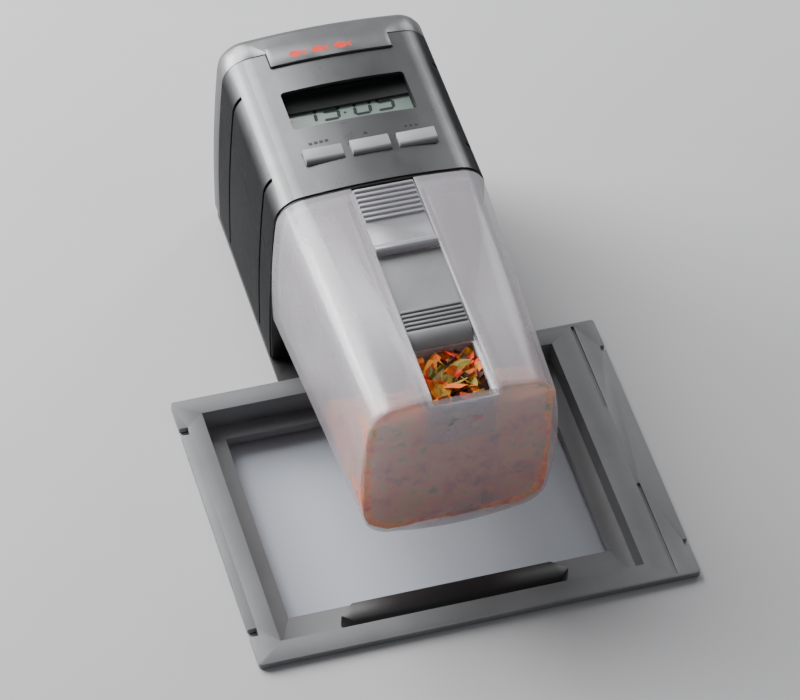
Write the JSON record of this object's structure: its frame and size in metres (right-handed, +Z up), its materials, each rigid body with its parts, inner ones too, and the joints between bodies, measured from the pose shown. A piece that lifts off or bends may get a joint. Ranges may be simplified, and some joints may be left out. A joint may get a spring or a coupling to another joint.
{
  "type": "automatic fish feeder",
  "caption": "Automatic fish feeder with a timer body, a turning translucent food drum with two slides, and a drop-in frame for a tank hood.",
  "frame": {"origin": "on the surface the feeder stands on, in its centre plane, below the joint between body and drum", "axes": "+X right when seen from the drum, +Y towards the back of the body, +Z up; the frame's skirt reaches below the origin into the hood's cut-out"},
  "size_m": [0.1315, 0.1766, 0.0814],
  "materials": {
    "housing_plastic": "dark metallic grey moulding, satin",
    "panel_silver": "silver-grey satin lacquer",
    "cover_plastic": "mid grey moulding, satin",
    "black_plastic": "black moulding, satin",
    "black_rubber": "black rubber, matt",
    "steel": "bright steel",
    "clear_lens": "clear window",
    "lcd_glass": "grey-green reflective display",
    "board_green": "green solder mask",
    "button_plastic": "light grey moulding, satin",
    "motor_metal": "plated can",
    "gearbox_plastic": "natural acetal",
    "gear_plastic": "white acetal",
    "spindle_plastic": "black acetal",
    "brass": "turned brass",
    "battery_wrap": "printed sleeve, plain",
    "wire_insulation": "soft PVC",
    "drum_plastic": "translucent frosted grey",
    "slide_plastic": "grey moulding, satin",
    "frame_plastic": "mid grey moulding, fine grain"
  },
  "bodies": {
    "housing": {"main_housing": "housing_plastic", "fascia_panel": "panel_silver", "drive_plate": "black_plastic", "foot": "black_plastic", "foot_pads": "black_rubber", "foot_screws": "steel", "lcd_lens": "clear_lens", "lcd_display": "lcd_glass", "lcd_frame": "black_plastic", "display_connector": "black_rubber", "circuit_board": "board_green", "keypad_mat": "black_rubber", "motor": "motor_metal", "motor_saddle": "gearbox_plastic", "idler_pin": "steel", "spindle_bush": "brass", "gearbox_plate": "gearbox_plastic", "gearbox_screws": "steel", "position_switch": "black_plastic", "fan_frame": "black_plastic", "battery_tray": "black_plastic", "battery_upper": "battery_wrap", "battery_lower": "battery_wrap", "battery_contacts": "steel", "motor_leads": "wire_insulation", "battery_leads": "wire_insulation", "mounting_frame": "frame_plastic", "front_bar": "black_plastic", "frame_seal": "black_rubber"},
    "rear_cover": {"rear_cover": "cover_plastic"},
    "spindle": {"output_gear": "gear_plastic", "drive_spindle": "spindle_plastic", "spindle_clip": "steel", "position_cam": "gear_plastic"},
    "drum": {"drum_shell": "drum_plastic", "drum_end_plate": "drum_plastic", "drum_seal": "black_rubber", "dosing_chute": "drum_plastic"},
    "dosing_slide": {"dosing_slide": "slide_plastic"},
    "refill_slide": {"refill_slide": "drum_plastic"},
    "idler": {"idler_gear": "gear_plastic"},
    "motor_rotor": {"motor_shaft": "steel", "motor_pinion": "brass"},
    "fan_rotor": {"fan_rotor": "black_plastic"},
    "button_left": {"button_left": "button_plastic"},
    "button_middle": {"button_middle": "button_plastic"},
    "button_right": {"button_right": "button_plastic"}
  },
  "joints": [
    {"name": "drum_spin", "type": "hinge", "parent": "housing", "child": "spindle", "pos_m": [0, 0, 0.042], "axis": [0, 1, 0], "continuous": true},
    {"name": "drum_pull", "type": "slide", "parent": "spindle", "child": "drum", "axis": [0, -1, 0], "range_m": [0, 0.02]},
    {"name": "dosing_slide_travel", "type": "slide", "parent": "drum", "child": "dosing_slide", "axis": [0, -1, 0], "range_m": [0, 0.02]},
    {"name": "refill_slide_travel", "type": "slide", "parent": "drum", "child": "refill_slide", "axis": [0, -1, 0], "range_m": [0, 0.02]},
    {"name": "cover_slide", "type": "slide", "parent": "housing", "child": "rear_cover", "axis": [0, 1, 0], "range_m": [0, 0.03]},
    {"name": "idler_spin", "type": "hinge", "parent": "housing", "child": "idler", "pos_m": [0, 0.008, 0.024], "axis": [0, 1, 0], "continuous": true},
    {"name": "motor_spin", "type": "hinge", "parent": "housing", "child": "motor_rotor", "pos_m": [0.01351, 0.009, 0.0162], "axis": [0, 1, 0], "continuous": true},
    {"name": "fan_spin", "type": "hinge", "parent": "housing", "child": "fan_rotor", "pos_m": [-0.0256, 0.028, 0.024], "axis": [1, 0, 0], "continuous": true},
    {"name": "press_left", "type": "slide", "parent": "housing", "child": "button_left", "axis": [0, 0, -1], "range_m": [0, 0.0008], "stiffness_N_per_m": 1200, "springref_m": -0.0002},
    {"name": "press_middle", "type": "slide", "parent": "housing", "child": "button_middle", "axis": [0, 0, -1], "range_m": [0, 0.0008], "stiffness_N_per_m": 1200, "springref_m": -0.0002},
    {"name": "press_right", "type": "slide", "parent": "housing", "child": "button_right", "axis": [0, 0, -1], "range_m": [0, 0.0008], "stiffness_N_per_m": 1200, "springref_m": -0.0002}
  ],
  "couplings": [
    {"joint": "idler_spin", "follows": "drum_spin", "ratio": -4},
    {"joint": "motor_spin", "follows": "drum_spin", "ratio": 13.333}
  ]
}
